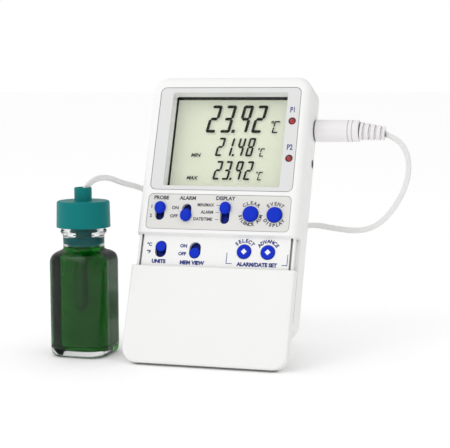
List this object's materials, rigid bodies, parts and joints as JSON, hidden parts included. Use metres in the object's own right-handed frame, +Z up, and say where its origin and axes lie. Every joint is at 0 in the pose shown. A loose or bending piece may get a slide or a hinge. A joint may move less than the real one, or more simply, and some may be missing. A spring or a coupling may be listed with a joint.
{
  "type": "digital probe thermometer",
  "caption": "Leaning digital data-logging thermometer with LCD, slide switches, buttons, sliding lower door and back stand, plugged by cord into a probe in a square glass bottle.",
  "frame": {"origin": "on the table, at the centre of the footprint of the leaning meter with its open stand and of the bottle", "axes": "+Z up, +X to the right as seen from the display side, +Y back, from the display side towards the stand"},
  "size_m": [0.1466, 0.1322, 0.1167],
  "materials": {
    "case_white": "fine satin moulded ABS",
    "bezel_grey": "satin printed bezel",
    "overlay_grey": "satin printed overlay",
    "control_blue": "glossy royal blue",
    "lens_clear": "clear acrylic",
    "lcd": "pale grey-green liquid crystal cell",
    "gasket_black": "matt black foam",
    "reflector": "pale reflector film",
    "zebra": "elastomer strip",
    "board_green": "solder-masked glass epoxy",
    "chip_black": "black epoxy",
    "nickel": "nickel plate",
    "steel": "bare steel",
    "led_red": "translucent red epoxy",
    "jack_black": "black nylon",
    "cell_jacket": "printed steel can",
    "cord_white": "soft white vinyl",
    "tie_white": "white nylon strap",
    "bottle_glass": "clear moulded glass",
    "glycol_green": "green dyed glycol",
    "cap_teal": "teal moulded plastic",
    "stainless": "polished stainless tube",
    "bead": "coated ceramic bead"
  },
  "bodies": {
    "meter": {"front_case": "case_white", "rear_case": "case_white", "display_bezel": "bezel_grey", "control_panel": "overlay_grey", "display_window": "lens_clear", "lcd_gasket": "gasket_black", "lcd_glass": "lcd", "lcd_reflector": "reflector", "zebra_strips": "zebra", "main_board": "board_green", "key_board": "board_green", "board_header": "chip_black", "controller_chip": "chip_black", "memory_chip": "chip_black", "crystal": "nickel", "buzzer": "chip_black", "led_leads": "nickel", "led_p1": "led_red", "led_p2": "led_red", "case_screws": "steel", "board_screws": "steel", "switch_bodies": "jack_black", "tact_switches": "jack_black", "battery_contacts": "nickel", "contact_springs": "nickel", "stand_pin": "steel", "jack_p1": "jack_black", "jack_p2": "jack_black", "battery_1": "cell_jacket", "battery_2": "cell_jacket", "glass_bottle": "bottle_glass", "glycol": "glycol_green", "cap_stopper": "cap_teal", "bottle_cap": "cap_teal", "probe_sheath": "stainless", "thermistor": "bead", "cord_coil": "cord_white", "coil_tie": "tie_white", "cord_bottle_run": "cord_white", "cord_plug_run": "cord_white"},
    "door": {"sliding_door": "case_white"},
    "stand": {"kickstand": "case_white"},
    "cover": {"battery_cover": "case_white"},
    "plug": {"plug_body": "cord_white", "plug_pin": "nickel", "plug_insulator": "jack_black", "strain_relief": "cord_white"},
    "probe_switch": {"probe_knob": "control_blue"},
    "alarm_switch": {"alarm_knob": "control_blue"},
    "display_switch": {"display_knob": "control_blue"},
    "units_switch": {"units_knob": "control_blue"},
    "memory_switch": {"memory_knob": "control_blue"},
    "clear_key": {"clear_button": "control_blue"},
    "event_key": {"event_button": "control_blue"},
    "select_key": {"select_button": "control_blue"},
    "advance_key": {"advance_button": "control_blue"}
  },
  "joints": [
    {"name": "door_slide", "type": "slide", "parent": "meter", "child": "door", "axis": [0, 0.3639, 0.9314], "range_m": [0, 0.013]},
    {"name": "stand_hinge", "type": "hinge", "parent": "meter", "child": "stand", "pos_m": [0.0178, -0.00409, 0.03573], "axis": [1, 0, 0], "range_deg": [0, 110.66]},
    {"name": "cover_slide", "type": "slide", "parent": "meter", "child": "cover", "axis": [0, -0.3639, -0.9314], "range_m": [0, 0.0065]},
    {"name": "plug_slide", "type": "slide", "parent": "meter", "child": "plug", "axis": [1, 0, 0], "range_m": [0, 0.0145], "deforming": ["cord_plug_run"]},
    {"name": "probe_slide", "type": "slide", "parent": "meter", "child": "probe_switch", "axis": [0, 0.3639, 0.9314], "range_m": [-0.0028, 0]},
    {"name": "alarm_slide", "type": "slide", "parent": "meter", "child": "alarm_switch", "axis": [0, 0.3639, 0.9314], "range_m": [0, 0.0025]},
    {"name": "display_slide", "type": "slide", "parent": "meter", "child": "display_switch", "axis": [0, 0.3639, 0.9314], "range_m": [-0.0042, 0]},
    {"name": "units_slide", "type": "slide", "parent": "meter", "child": "units_switch", "axis": [0, 0.3639, 0.9314], "range_m": [-0.0022, 0]},
    {"name": "memory_slide", "type": "slide", "parent": "meter", "child": "memory_switch", "axis": [0, 0.3639, 0.9314], "range_m": [0, 0.0022]},
    {"name": "clear_press", "type": "slide", "parent": "meter", "child": "clear_key", "axis": [0, 0.9314, -0.3639], "range_m": [0, 0.0006], "stiffness_N_per_m": 1500},
    {"name": "event_press", "type": "slide", "parent": "meter", "child": "event_key", "axis": [0, 0.9314, -0.3639], "range_m": [0, 0.0006], "stiffness_N_per_m": 1500},
    {"name": "select_press", "type": "slide", "parent": "meter", "child": "select_key", "axis": [0, 0.9314, -0.3639], "range_m": [0, 0.0006], "stiffness_N_per_m": 1500},
    {"name": "advance_press", "type": "slide", "parent": "meter", "child": "advance_key", "axis": [0, 0.9314, -0.3639], "range_m": [0, 0.0006], "stiffness_N_per_m": 1500}
  ]
}
